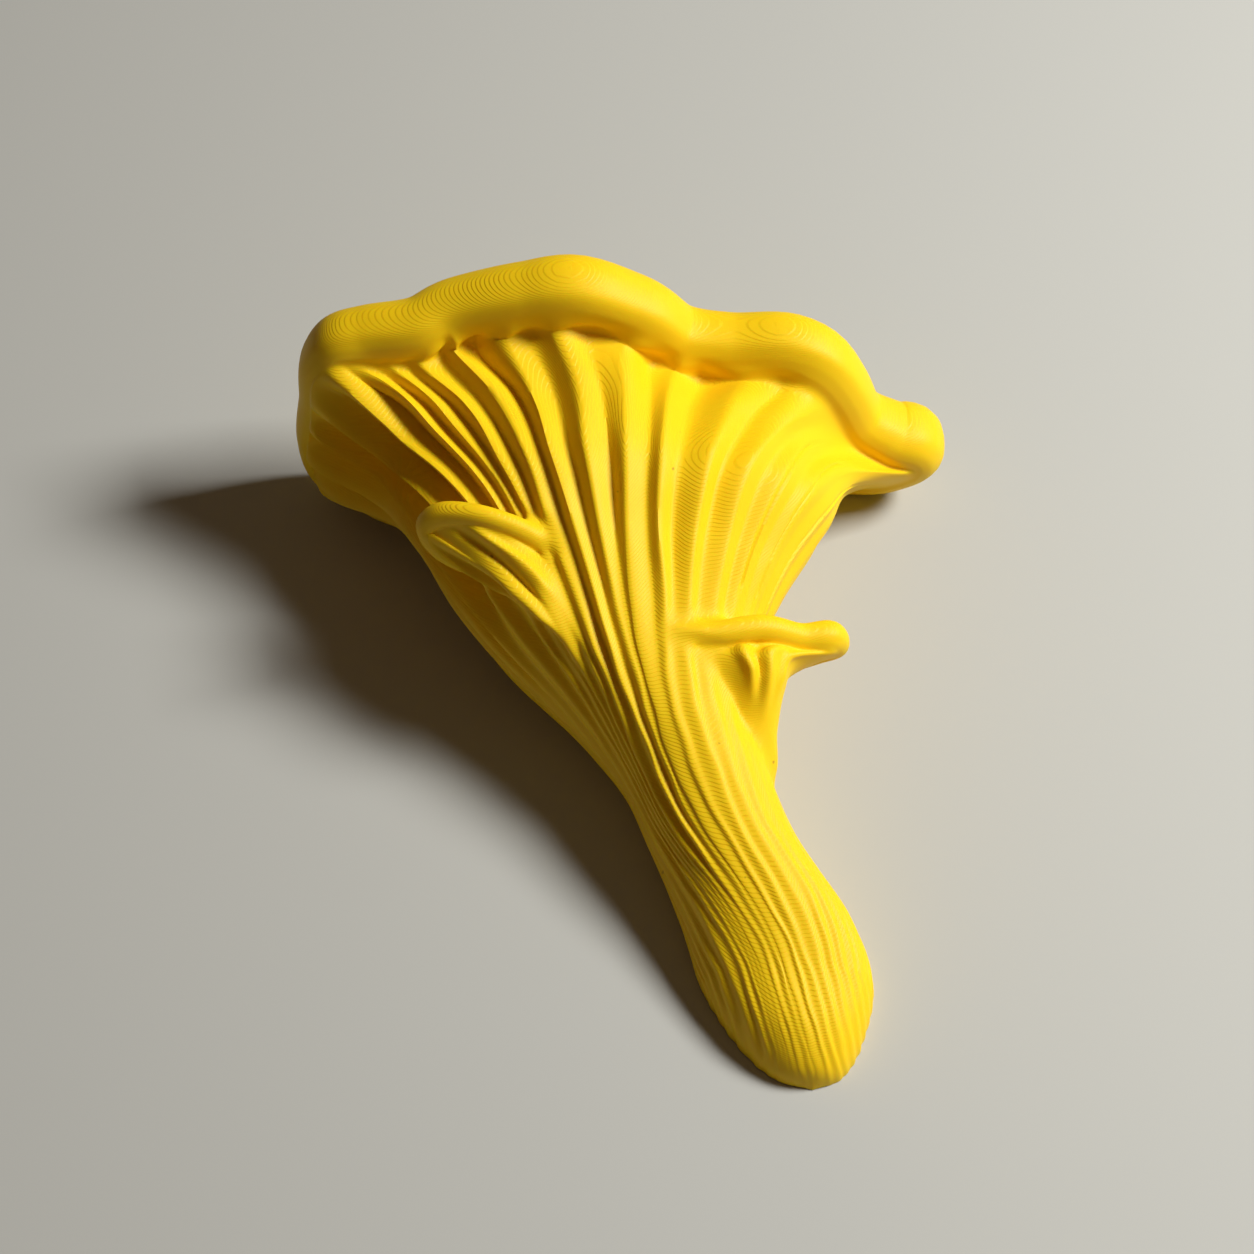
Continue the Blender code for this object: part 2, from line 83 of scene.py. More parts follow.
# %% [markdown]
# ## Floor and light
#
# A plain pale floor shows the outline and catches the shadow. One broad lamp stands to the right and a
# little behind, halfway up the sky, which is what models the ridges: their right sides are bright and their
# left sides are in soft shade. A lamp's softness is its size as seen from the object, so a small panel near
# by casts the same shadow as a wide one far off. A weak, even and warm sky keeps the shade from going
# black. The colours are shown as they are, because a film curve would wash the strong yellow out.

# %% Floor
FLOOR_REACH = 2.0
FLOOR_DROP = 0.0001
floor_corners = [
    (side * FLOOR_REACH, end * FLOOR_REACH, -FLOOR_DROP) for side, end in ((-1, -1), (1, -1), (1, 1), (-1, 1))
]
floor_mesh = bpy.data.meshes.new("floor")
floor_mesh.from_pydata(floor_corners, [], [(0, 1, 2, 3)])
floor = bpy.data.objects.new("floor", floor_mesh)
bpy.context.scene.collection.objects.link(floor)

floor_paint = bpy.data.materials.new("pale_floor")
floor_paint.use_nodes = True
floor_shader = floor_paint.node_tree.nodes["Principled BSDF"]
floor_shader.inputs["Base Color"].default_value = (0.50, 0.50, 0.50, 1.0)
floor_shader.inputs["Roughness"].default_value = 0.75
floor_mesh.materials.append(floor_paint)
print("floor made,", 2 * FLOOR_REACH, "m wide")

# %% Lamps
LAMP_DISTANCE = 0.7


def lamp(name, round_deg, up_deg, size, watts):
    """A square lamp on a dome round the object. Its place is the distance times the direction that the two
    angles give: cos(up) * (cos(round), sin(round)) level and sin(up) upward. It faces the middle."""
    light = bpy.data.lights.new(name, "AREA")
    light.size = size
    light.energy = watts
    holder = bpy.data.objects.new(name, light)
    bpy.context.scene.collection.objects.link(holder)
    around, up = math.radians(round_deg), math.radians(up_deg)
    toward = np.array([math.cos(up) * math.cos(around), math.cos(up) * math.sin(around), math.sin(up)])
    holder.location = LAMP_DISTANCE * toward
    holder.rotation_euler = (math.pi / 2 - up, 0.0, math.pi / 2 + around)
    return holder


key_lamp = lamp("key_lamp", round_deg=12.0, up_deg=46.0, size=0.2, watts=6.35)
key_lamp.data.color = (1.0, 1.0, 0.92)
sky = bpy.data.worlds.new("soft_sky")
sky.use_nodes = True
sky_light = sky.node_tree.nodes["Background"]
sky_light.inputs["Color"].default_value = (1.0, 0.68, 0.38, 1.0)
sky_light.inputs["Strength"].default_value = 0.075
bpy.context.scene.world = sky
bpy.context.scene.view_settings.view_transform = "Standard"
print("key lamp at", np.round(np.array(key_lamp.location), 2).tolist())

# %% [markdown]
# ## Lines through a few points
#
# Every surface below is guided by a few given rows of numbers. A smooth line has to pass through them. A
# spline object could do that, but here whole grids of points are worked out at once, so a small function
# reads the smooth line at any place. It is a chain of cubics whose slopes come from the neighbouring
# points, and it works on numbers, points and whole rings alike.

# %% Smooth lines and ramps
def smooth_line(t, knots, values):
    """The value at t of a line through the values at the knots. On each stretch s runs from 0 to 1, and the
    value is a sum of four: the two end values and the two end slopes, each times its own cubic of s."""
    knots = np.asarray(knots, float)
    values = np.asarray(values, float)
    slopes = np.gradient(values, knots, axis=0)
    i = np.clip(np.searchsorted(knots, t, side="right") - 1, 0, len(knots) - 2)
    gap = knots[i + 1] - knots[i]
    s = (t - knots[i]) / gap
    same_shape = (...,) + (None,) * (values.ndim - 1)
    gap = gap[same_shape]
    s = s[same_shape]
    start = (1 + 2 * s) * (1 - s) ** 2 * values[i] + s * (1 - s) ** 2 * gap * slopes[i]
    return start + s * s * (3 - 2 * s) * values[i + 1] + s * s * (s - 1) * gap * slopes[i + 1]


def ramp(t, low, high):
    """0 below low and 1 above high. Between them it is 3 s squared minus 2 s cubed, so it has no corner."""
    s = np.clip((t - low) / (high - low), 0, 1)
    return s * s * (3 - 2 * s)


def window(t, start, full, leaving, end):
    """0 before start, 1 from full to leaving and 0 after end: one ramp up times 1 minus a second ramp."""
    return ramp(t, start, full) * (1 - ramp(t, leaving, end))


def read_table(t, table):
    """The value at t of the straight lines between a table's rows, which hold a place and a value."""
    return np.interp(t, *np.array(table).T)


def stops(spans):
    """Places along a surface: each (low, high, steps) span is cut into its number of equal steps."""
    parts = [np.linspace(low, high, steps, endpoint=False) for low, high, steps in spans]
    return np.append(np.concatenate(parts), spans[-1][1])


print("halfway up a ramp:", ramp(0.5, 0, 1))

# %% [markdown]
# ## Stem and fan
#
# The body can be thought of as slices across its length. Each slice is an ellipse cut flat by the table,
# and the slices grow from the foot's tip through the waist to the fan. The rows hold each slice's place and
# its four half-sizes, in millimetres. `u` runs round a slice from its left foot over the top to its right
# foot, and `v` counts slices from the tip. A skew turns a slice's points round, which makes the ribs wind
# along the stem. The tables count from the point in the middle of the picture. The frame's origin is the
# middle of the footprint, so the points move there when they become a mesh.

# %% Slices of the stem
STEM = np.array([
    # y, middle x, half-width left, half-width right, middle height, depth below it, top height, power, skew
    [-67.2, 22.9, 0.0, 0.0, 0.0, 0.1, 0.0, 2.0, -0.03],
    [-65.7, 22.6, 4.5, 4.0, 0.0, 3.0, 3.6, 2.0, -0.03],
    [-61.2, 21.6, 8.0, 7.7, 0.3, 6.0, 6.9, 2.0, -0.04],
    [-54.0, 20.0, 10.6, 10.8, 1.5, 8.0, 9.3, 2.0, -0.05],
    [-46.3, 17.5, 10.6, 10.8, 3.6, 8.5, 12.4, 2.0, -0.07],
    [-37.0, 12.5, 9.4, 9.6, 6.2, 9.0, 15.6, 2.0, -0.09],
    [-28.9, 8.7, 9.4, 10.2, 8.3, 10.0, 18.5, 2.0, -0.08],
    [-21.0, 4.2, 11.4, 11.9, 10.6, 12.0, 21.7, 2.0, -0.03],
    [-12.0, -0.2, 16.0, 17.2, 13.5, 15.0, 25.5, 2.0, 0.0],
    [-3.0, -1.2, 21.2, 22.3, 15.5, 17.0, 29.4, 1.95, 0.0],
    [6.0, -1.6, 26.0, 28.2, 16.5, 18.0, 33.0, 1.95, 0.0],
])
FOOTPRINT_MIDDLE = np.array([-0.71, -17.81, 0.0])


def signed_power(x, power):
    """The size of x raised to the power, with its sign kept."""
    return np.sign(x) * np.abs(x) ** power


def stem_slice(u, row):
    """An ellipse cut flat at height 0. The angle falls evenly from the left foot to the right foot, and x
    and z are the half-sizes times the cosine and the sine of it, each raised to 2 / power with its sign
    kept."""
    y, middle, left, right, height, below, top, power, skew = row
    dip = np.arcsin(min(height / below, 1.0))
    turned = u + skew * 4 * u * (1 - u)
    angle = np.pi + dip - turned * (np.pi + 2 * dip)
    across = signed_power(np.cos(angle), 2 / power)
    up = signed_power(np.sin(angle), 2 / power)
    x = middle + np.where(across < 0, left, right) * across
    z = height + np.where(up < 0, below, top - height) * up
    return np.stack([x, np.full_like(x, y), np.maximum(z, 0)], -1)


print(len(STEM), "slices, widest", STEM[:, 2:4].sum(axis=1).max(), "mm")

# %% [markdown]
# ## Rolled rims
#
# The edge of the cap is rolled like the rim of a bowl, and it waves up and down. A tube along a curve would
# give the roll, but it has to run into the gills without a seam. So the rim's middle line is a table of
# points, and the surface is drawn by turning round that line: it starts at the gill side, goes over the
# outer edge and stops on the cap's top. Each row also says at what turn the roll starts and how wide of it
# the first line lies, which makes the soft hollow where the gills meet the rim.

# %% Rim tables
FAN_RIM = np.array([
    # share of the way round, x, y, z, radius of the roll, turn at which it starts, hollow before it
    [0.00, -16.0, 23.5, -1.6, 3.0, -96, 0.0],
    [0.06, -27.0, 22.3, 1.8, 3.4, -96, 0.0],
    [0.11, -36.0, 22.2, 3.6, 3.8, -90, 0.0],
    [0.16, -39.9, 22.6, 6.8, 4.0, -80, 0.1],
    [0.21, -40.7, 23.0, 13.0, 4.1, -75, 0.1],
    [0.27, -39.7, 23.5, 20.8, 4.1, -75, 0.15],
    [0.32, -38.9, 24.4, 27.8, 4.0, -80, 0.2],
    [0.345, -37.2, 24.8, 30.6, 3.9, -90, 0.15],
    [0.37, -33.9, 25.1, 31.7, 3.9, -102, 0.15],
    [0.41, -27.2, 25.2, 33.2, 4.0, -112, 0.15],
    [0.45, -21.2, 27.0, 35.0, 4.2, -116, 0.15],
    [0.475, -13.2, 27.15, 37.5, 4.3, -118, 0.15],
    [0.497, -6.0, 27.2, 38.5, 4.4, -118, 0.15],
    [0.514, 0.4, 27.0, 35.4, 4.3, -114, 0.15],
    [0.550, 7.2, 26.5, 29.6, 4.1, -106, 0.2],
    [0.577, 13.5, 26.2, 28.4, 4.1, -104, 0.25],
    [0.608, 21.3, 25.8, 28.9, 4.0, -104, 0.35],
    [0.632, 25.6, 24.9, 26.8, 4.0, -104, 0.35],
    [0.655, 28.4, 24.0, 21.9, 4.1, -100, 0.2],
    [0.675, 30.5, 23.5, 16.4, 4.2, -96, 0.1],
    [0.700, 34.8, 23.0, 12.5, 4.8, -92, 0.0],
    [0.735, 38.2, 23.2, 10.6, 5.1, -90, 0.0],
    [0.79, 35.5, 24.2, 5.3, 4.6, -90, 0.0],
    [0.88, 27.0, 25.0, 2.0, 3.6, -90, 0.0],
    [1.00, 17.0, 24.5, -1.6, 3.0, -90, 0.0],
])
LEFT_RIM = np.array([
    [0.00, -14.6, -5.2, 22.4, 1.4, -105, 0.2],
    [0.08, -18.6, -4.7, 22.5, 1.5, -105, 0.2],
    [0.15, -21.2, -3.9, 22.8, 1.6, -106, 0.2],
    [0.22, -23.8, -2.6, 23.8, 1.7, -108, 0.2],
    [0.30, -25.2, -0.9, 25.9, 1.8, -108, 0.2],
    [0.38, -23.7, -0.7, 28.2, 1.6, -110, 0.3],
    [0.50, -19.2, -1.7, 29.8, 1.35, -110, 0.3],
    [0.62, -14.8, -2.7, 29.0, 1.35, -104, 0.2],
    [0.70, -12.0, -3.2, 27.4, 1.6, -100, 0.1],
    [0.78, -9.4, -3.8, 25.6, 1.7, -98, 0.1],
    [0.86, -7.8, -4.0, 23.6, 1.4, -95, 0.0],
    [0.93, -10.6, -4.6, 22.6, 1.3, -95, 0.0],
    [1.00, -14.6, -5.2, 22.4, 1.4, -105, 0.2],
])
RIGHT_RIM = np.array([
    [0.00, 15.5, -12.4, 10.0, 1.4, -100, 0.1],
    [0.12, 9.0, -13.6, 13.4, 1.4, -100, 0.1],
    [0.22, 4.6, -15.0, 18.4, 1.1, -100, 0.1],
    [0.30, 6.0, -14.9, 22.6, 1.1, -105, 0.1],
    [0.38, 10.8, -14.5, 21.9, 1.6, -108, 0.2],
    [0.48, 17.2, -13.1, 20.9, 1.7, -100, 0.2],
    [0.58, 22.2, -12.6, 18.1, 1.7, -92, 0.2],
    [0.68, 26.3, -11.7, 16.4, 2.05, -92, 0.2],
    [0.74, 27.1, -11.5, 14.0, 1.6, -100, 0.1],
    [0.82, 24.8, -11.0, 11.2, 1.4, -100, 0.1],
    [0.90, 20.4, -11.8, 9.8, 1.3, -100, 0.1],
    [1.00, 15.5, -12.4, 10.0, 1.4, -100, 0.1],
])
print("rim rows:", len(FAN_RIM), len(LEFT_RIM), len(RIGHT_RIM))

# %% Turning round a rim
ROLL_END_TURN = 85.0
FAN_ROLL_POWER = 2.4
FROND_ROLL_POWER = 2.0
ROLL = (
    # share of the turning done, share of the hollow, step along the surface after it
    (0.0, 1.0, 0.5),
    (0.1, 0.25, 0.4),
    (0.22, 0.0, 0.45),
    (0.4, 0.0, 0.45),
    (0.6, 0.0, 0.45),
    (0.8, 0.0, 0.45),
    (1.0, 0.0, 0.6),
)
NEXT_ALONG_RIM = 0.001


def roll_line(rim, u, share, hollow_share, power):
    """A line along the rolled rim: its middle line, plus the radius times cos(turn) outward and sin(turn)
    toward the cap, each raised to 2 / power with its sign kept. Power 2 rolls a circle and a higher one a
    squarer roll. Outward is square to the rim's own direction and to the way the cap faces."""
    shares, places = rim[:, 0], rim[:, 1:4]
    middle = smooth_line(u, shares, rim[:, 1:])
    ahead = smooth_line(u + NEXT_ALONG_RIM, shares, places) - smooth_line(u - NEXT_ALONG_RIM, shares, places)
    ahead /= np.linalg.norm(ahead, axis=-1, keepdims=True)
    capward = np.array([0.0, 1.0, 0.0]) - ahead * ahead[:, 1:2]
    capward /= np.linalg.norm(capward, axis=-1, keepdims=True)
    outward = np.cross(ahead, capward)
    radius, start, hollow = middle[:, 3:].T[..., None]
    angle = np.radians(start + share * (ROLL_END_TURN - start))
    away_from_middle = radius * (1 + hollow_share * hollow)
    out = signed_power(np.cos(angle), 2 / power)
    up = signed_power(np.sin(angle), 2 / power)
    return middle[:, :3] + away_from_middle * (out * outward + up * capward)


outer_edge = roll_line(FAN_RIM, np.linspace(0, 1, 9), 0.4, 0.0, FAN_ROLL_POWER)
print("the fan's outer edge passes", outer_edge[4].round(1).tolist())

# %% [markdown]
# ## The cap's top
#
# A cap's waves belong to its rim, and its top is a plain shallow dish. Rings that only shrink toward the
# middle would carry the waves along and meet in a star of creases. So each ring is also more even than the
# one before.

# %% From the roll to the cap's middle
CAP_SHARES = (0.85, 0.6, 0.3, 0.0)
CAP_STEPS = (0.8, 0.8, 0.8, 0.0)
EVENED_PART = 12
ALMOST_NOTHING = 1e-9


def moving_mean(line, ends):
    """The line evened out: each point becomes the mean of the points up to a twelfth of the line away. The
    ends are continued by their last point (edge) or, on a closed line, by its other end (wrap)."""
    reach = len(line) // EVENED_PART
    padded = np.pad(line, ((reach, reach), (0, 0)), mode=ends)
    weights = np.full(2 * reach + 1, 1 / (2 * reach + 1))
    return np.stack([np.convolve(padded[:, axis], weights, "valid") for axis in range(3)], -1)


def with_roll_and_cap(rings, rim, u, power, to_roll, cap_middle, dips, ends):
    """Adds the roll's lines, then the cap's rings. Each is the middle plus its share of the way out to a
    mix of the edge and the evened edge, sunk by its dip. Returns each ring's place along the surface, which
    is the running sum of the steps, and the rings."""
    rings = list(rings)
    steps = [1.0] * (len(rings) - 1) + [to_roll]
    for share, hollow_share, step in ROLL:
        rings.append(roll_line(rim, u, share, hollow_share, power))
        steps.append(step)
    edge = rings[-1]
    even_edge = moving_mean(moving_mean(edge, ends), ends)
    for share, dip, step in zip(CAP_SHARES, dips, CAP_STEPS):
        ring = cap_middle + (edge * share + even_edge * (1 - share) - cap_middle) * share
        ring[:, 1] -= dip
        rings.append(ring)
        steps.append(step)
    places = np.append(0.0, np.cumsum(steps[:-1]))
    return places, np.array(rings)


def outward_normals(grid):
    """The direction square to the surface: the cross product of its two grid directions, made 1 long. At a
    pole, where the product is nothing, it is left as nothing."""
    square = np.cross(np.gradient(grid, axis=1), np.gradient(grid, axis=0))
    return square / np.maximum(np.linalg.norm(square, axis=-1, keepdims=True), ALMOST_NOTHING)


print("cap rings:", len(CAP_SHARES))

# %% [markdown]
# ## Gills, ribs and grooves
#
# The gills are waves of the surface. They aren't straight or evenly spaced: each bows on its way up, some
# join on the stem, and they lean, so that one side is wider than the other. Copies of one ridge would look
# like a comb. So the table holds the line of every crest: one row for each, with its share of the way round
# at each of a few places along the surface. A second list says where the valley lies between a crest and
# the next.

# %% Crest lines
CREST_PLACES = (2.6, 3.2, 4.0, 5.0, 6.0, 7.0, 8.0, 9.0, 10.0, 10.75, 11.5, 12.2)
CRESTS = np.array([
    [0.000, 0.000, 0.000, 0.000, 0.000, 0.000, 0.000, 0.000, 0.000, 0.000, 0.000, 0.000],
    [0.040, 0.040, 0.040, 0.040, 0.040, 0.040, 0.040, 0.040, 0.040, 0.040, 0.040, 0.040],
    [0.080, 0.080, 0.080, 0.080, 0.080, 0.080, 0.080, 0.080, 0.080, 0.080, 0.080, 0.080],
    [0.120, 0.120, 0.120, 0.120, 0.120, 0.120, 0.120, 0.120, 0.118, 0.116, 0.118, 0.120],
    [0.165, 0.165, 0.162, 0.160, 0.160, 0.160, 0.160, 0.160, 0.156, 0.152, 0.162, 0.165],
    [0.210, 0.210, 0.205, 0.200, 0.200, 0.200, 0.200, 0.200, 0.196, 0.190, 0.208, 0.215],
    [0.262, 0.262, 0.255, 0.250, 0.246, 0.245, 0.245, 0.243, 0.243, 0.240, 0.253, 0.262],
    [0.325, 0.325, 0.318, 0.310, 0.305, 0.300, 0.300, 0.305, 0.290, 0.274, 0.288, 0.294],
    [0.372, 0.376, 0.362, 0.345, 0.340, 0.342, 0.346, 0.352, 0.331, 0.316, 0.330, 0.336],
    [0.404, 0.406, 0.386, 0.362, 0.358, 0.362, 0.368, 0.376, 0.360, 0.348, 0.361, 0.366],
    [0.420, 0.423, 0.402, 0.376, 0.373, 0.377, 0.384, 0.391, 0.376, 0.369, 0.386, 0.393],
    [0.434, 0.436, 0.418, 0.393, 0.390, 0.400, 0.410, 0.405, 0.391, 0.394, 0.404, 0.414],
    [0.448, 0.450, 0.432, 0.409, 0.406, 0.418, 0.428, 0.422, 0.418, 0.418, 0.426, 0.438],
    [0.474, 0.482, 0.461, 0.452, 0.452, 0.450, 0.459, 0.451, 0.441, 0.449, 0.463, 0.469],
    [0.508, 0.514, 0.497, 0.486, 0.484, 0.484, 0.487, 0.479, 0.473, 0.480, 0.484, 0.486],
    [0.524, 0.530, 0.514, 0.503, 0.501, 0.501, 0.507, 0.510, 0.510, 0.512, 0.515, 0.522],
    [0.566, 0.568, 0.550, 0.556, 0.549, 0.546, 0.555, 0.544, 0.540, 0.544, 0.549, 0.551],
    [0.605, 0.600, 0.590, 0.603, 0.608, 0.588, 0.590, 0.586, 0.584, 0.589, 0.586, 0.584],
    [0.645, 0.645, 0.645, 0.650, 0.650, 0.640, 0.634, 0.627, 0.622, 0.637, 0.645, 0.648],
    [0.690, 0.690, 0.690, 0.690, 0.690, 0.685, 0.672, 0.664, 0.665, 0.668, 0.672, 0.676],
    [0.733, 0.731, 0.730, 0.730, 0.730, 0.722, 0.710, 0.701, 0.706, 0.701, 0.700, 0.705],
    [0.775, 0.773, 0.770, 0.770, 0.770, 0.762, 0.750, 0.742, 0.757, 0.760, 0.760, 0.760],
    [0.818, 0.814, 0.810, 0.810, 0.810, 0.802, 0.792, 0.785, 0.800, 0.808, 0.810, 0.810],
    [0.860, 0.858, 0.855, 0.855, 0.855, 0.850, 0.845, 0.840, 0.850, 0.856, 0.858, 0.858],
    [0.905, 0.905, 0.905, 0.905, 0.905, 0.905, 0.905, 0.905, 0.905, 0.905, 0.905, 0.905],
    [0.950, 0.950, 0.950, 0.950, 0.950, 0.950, 0.950, 0.950, 0.950, 0.950, 0.950, 0.950],
    [1.000, 1.000, 1.000, 1.000, 1.000, 1.000, 1.000, 1.000, 1.000, 1.000, 1.000, 1.000],
])
VALLEY_SHARES = np.array([
    0.5, 0.5, 0.5, 0.55, 0.6, 0.6, 0.5, 0.6, 0.54, 0.54, 0.54, 0.5, 0.6,
    0.52, 0.6, 0.68, 0.42, 0.4, 0.5, 0.5, 0.5, 0.5, 0.5, 0.5, 0.5, 0.5,
])
print(len(CRESTS), "crests, placed at", len(CREST_PLACES), "places along the surface")

# %% [markdown]
# ## From crest lines to heights
#
# Counting crests and valleys along a row of points gives a number that is even on every crest and odd in
# every valley. The gills' height is a wave of that number. How tall it is depends on three things: the
# place along the surface, the place round it, and how far apart the two crests are, because crests that
# join share a shallow valley. On the foot the ribs don't follow the slices. They run on straight and level
# over the round end, so there the count is read at the place round the slice that has the same distance
# from the middle in the widest slice. Nothing that grows is quite regular, so on the stem each crest sways
# a little and the valleys' depths vary.

# %% Sizes of the gills
FULL_GAP = 0.034
FOOT_GILL_SIZE = 0.4
STEM_GILL_SIZES = (
    # share of the way round, size
    (0.0, 0.5), (0.2, 0.6), (0.36, 0.8), (0.41, 1.4), (0.46, 1.4), (0.49, 0.45), (0.55, 0.35), (0.6, 0.45),
    (0.65, 0.3), (0.75, 0.25), (1.0, 0.2),
)
FAN_GILL_SIZES = (
    # share of the way round, size
    (0.0, 0.8), (0.06, 1.9), (0.2, 2.0), (0.3, 1.9), (0.4, 1.4), (0.5, 1.1), (0.55, 0.85), (0.6, 0.8),
    (0.63, 0.6), (0.66, 0.35), (0.7, 0.28), (0.8, 0.25), (0.96, 0.2), (1.0, 0.2),
)
GILL_ENDS = (
    # share of the way round, place along the surface where the gill has run out under the roll
    (0.0, 12.1), (0.22, 12.2), (0.28, 12.0), (0.38, 11.9), (0.42, 12.6),
    (0.56, 12.6), (0.60, 12.3), (0.64, 12.0), (0.7, 11.7), (1.0, 11.6),
)
GILL_HEIGHTS = (
    # place along the surface, height in mm
    (0.0, 0.0), (0.5, 0.04), (1.0, 0.18), (1.8, 0.3), (3.0, 0.33), (6.0, 0.42),
    (8.0, 0.8), (9.5, 1.4), (11.0, 1.7), (12.0, 1.9), (13.0, 1.7),
)
GILL_FADE = 0.9
print("tallest gill:", max(height for _, height in GILL_HEIGHTS), "mm")

# %% Places of crests and valleys
SWAY = (
    # share of the way round, turn for each step along, turn from one crest to the next
    (0.0025, 4.3, 2.4),
    (0.0012, 9.1, 4.1),
)
SWAY_FADES = (6.5, 8.5)
FOOT_WIDTHS = (
    # place along the surface, share of the widest slice
    (0.0, 0.05), (0.5, 0.26), (1.0, 0.42), (1.5, 0.62), (2.0, 0.76), (2.5, 0.9), (3.0, 1.0),
)
FOOT_SPREAD = 1.2


def crest_rows(v):
    """Crests and valleys by turns, one row for each place v. A crest is on the smooth line through its
    table row plus two slow sines. A valley is the crest before it plus its share of the gap to the next."""
    crests = smooth_line(np.clip(v, CREST_PLACES[0], CREST_PLACES[-1]), CREST_PLACES, CRESTS.T)
    number = np.arange(1, len(CRESTS) - 1)
    for width, along, apart in SWAY:
        size = width * (1 - ramp(v, *SWAY_FADES))[:, None]
        crests[:, 1:-1] += size * np.sin(along * v[:, None] + apart * number)
    rows = np.empty((len(v), 2 * len(CRESTS) - 1))
    rows[:, 0::2] = crests
    rows[:, 1::2] = crests[:, :-1] + VALLEY_SHARES * np.diff(crests, axis=1)
    return rows


def counted(v, u, rows):
    """The count of crests and valleys at each point, read between the row's places. On the foot it is read
    where the cosine is cos(pi u) times the slice's share of the widest slice to a power a little over 1."""
    across = np.cos(np.pi * u) * read_table(v, FOOT_WIDTHS)[:, None] ** FOOT_SPREAD
    read_at = np.where(v[:, None] < FOOT_WIDTHS[-1][0], np.arccos(across) / np.pi, u)
    return np.array([np.interp(places, row, np.arange(len(row))) for places, row in zip(read_at, rows)])


print("crests and valleys in a row:", crest_rows(np.array([8.0])).shape[1])

# %% Depths of the valleys
GAP_POWER = 1.5
FOOT_EXTRA_POWER = 1.2
FOOT_POWER_FADES = (3.5, 6.0)
WIDEST_GAP = 1.15
UNEVENNESS = 0.3
UNEVEN_ALONG = 2.3
UNEVEN_APART = 1.9
UNEVEN_FADES = (8.5, 10.0)


def valley_depths(v, turns, rows):
    """How deep the valleys are, 1 for a full one: (gap between crests / full gap) to a power, which is
    higher on the foot, where close ribs run together. It is then multiplied by 1 plus a slow sine."""
    power = GAP_POWER + FOOT_EXTRA_POWER * (1 - ramp(v, *FOOT_POWER_FADES))[:, None]
    deep = np.clip(np.diff(rows[:, 0::2], axis=1) / FULL_GAP, 0, WIDEST_GAP) ** power
    valleys = np.arange(1, rows.shape[1], 2)
    sine = np.sin(UNEVEN_ALONG * v[:, None] + UNEVEN_APART * valleys)
    deep *= 1 + UNEVENNESS * sine * (1 - ramp(v, *UNEVEN_FADES))[:, None]
    return np.array([np.interp(places, valleys, line) for places, line in zip(turns, deep)])


print("a half-wide gap is", round(0.5 ** GAP_POWER, 2), "deep")

# %% [markdown]
# ## The gills' section
#
# Ribs on the stem are round, so their section is a plain cosine. Gills on the fan are thin folds, with nearly
# straight sides and tight bends, and a cosine would look like corrugated card. On the fan's right flank the
# gills are almost flat, and a hairline seam of the print runs along each crest instead.

# %% Section and height of the gills
TIGHTNESS = 0.9
STEM_TO_FAN = (7.0, 9.0)
FOOT_TO_STEM = (3.5, 5.5)
SEAM_DEPTH = 0.3
SEAM_WIDTH = 0.1
SEAMS_ROUND = (0.65, 0.66, 0.79, 0.82)
SEAMS_ALONG = (8.2, 8.6, 10.8, 11.4)


def rounded_zigzag(turns):
    """A wave that is 1 where turns is even and -1 where it is odd: arcsin(k cos(pi turns)) over arcsin(k).
    Its sides are nearly straight, and k says how tight the bends are."""
    return np.arcsin(TIGHTNESS * np.cos(np.pi * turns)) / math.asin(TIGHTNESS)


def seams(u, v, turns):
    """Depth of the hairlines: exp(-(counts from the crest / width) squared), in one stretch of the flank."""
    from_crest = turns - 2 * np.round(turns / 2)
    shown = window(u, *SEAMS_ROUND) * window(v, *SEAMS_ALONG)[:, None]
    return SEAM_DEPTH * shown * np.exp(-(from_crest / SEAM_WIDTH) ** 2)


def gill_height(u, v, rows):
    """Height of the gills in mm: half the wave of the count, times the height for the place along, the size
    for the place round and the valley's depth, fading to 0 where the gill ends. The seams are taken off."""
    turns = counted(v, u, rows)
    on_stem = 1 - ramp(v, *STEM_TO_FAN)[:, None]
    on_foot = 1 - ramp(v, *FOOT_TO_STEM)[:, None]
    size = on_foot * FOOT_GILL_SIZE + (on_stem - on_foot) * read_table(u, STEM_GILL_SIZES)
    size += (1 - on_stem) * read_table(u, FAN_GILL_SIZES)
    end = read_table(u, GILL_ENDS)
    shown = 1 - ramp(v[:, None], end - GILL_FADE, end)
    wave = on_stem * np.cos(np.pi * turns) + (1 - on_stem) * rounded_zigzag(turns)
    height = read_table(v, GILL_HEIGHTS)[:, None] * size * valley_depths(v, turns, rows) * shown
    return 0.5 * height * wave - seams(u, v, turns)


crest_to_valley = rounded_zigzag(np.array([0.0, 0.5, 1.0]))
print("the wave at a crest, between and in a valley:", crest_to_valley.round(2).tolist())

# %% Ridges and grooves of their own
LINE_FADE = 0.35
BODY_LINES = (
    # height in mm, half-width, then the line: place along the surface, share of the way round
    (-0.9, 0.030, ((4.6, 0.850), (5.5, 0.840), (6.2, 0.810), (7.2, 0.760))),
)


def line_heights(u, v, lines):
    """For each line, its height times exp(-(distance across / half-width) squared), faded at both ends."""
    total = np.zeros_like(u)
    for height, width, line in lines:
        along, around = np.array(line).T
        fade = LINE_FADE * (along[-1] - along[0])
        shown = window(v, along[0], along[0] + fade, along[-1] - fade, along[-1])
        total += height * shown * np.exp(-((u - smooth_line(v, along, around)) / width) ** 2)
    return total


print("grooves beside the right frond:", len(BODY_LINES))

# %% [markdown]
# ## The body as one grid
#
# Now the slices, the flare of the fan, the roll and the cap's top are one list of rings, and a smooth line
# through each column of them is the whole body. Between the last slice and the roll the fan flares like a
# trumpet: it rises first and spreads later. The columns of the grid are then moved sideways along the
# surface so that they follow the crests, which keeps every crest clean, and the gills push the points out
# along the normals.

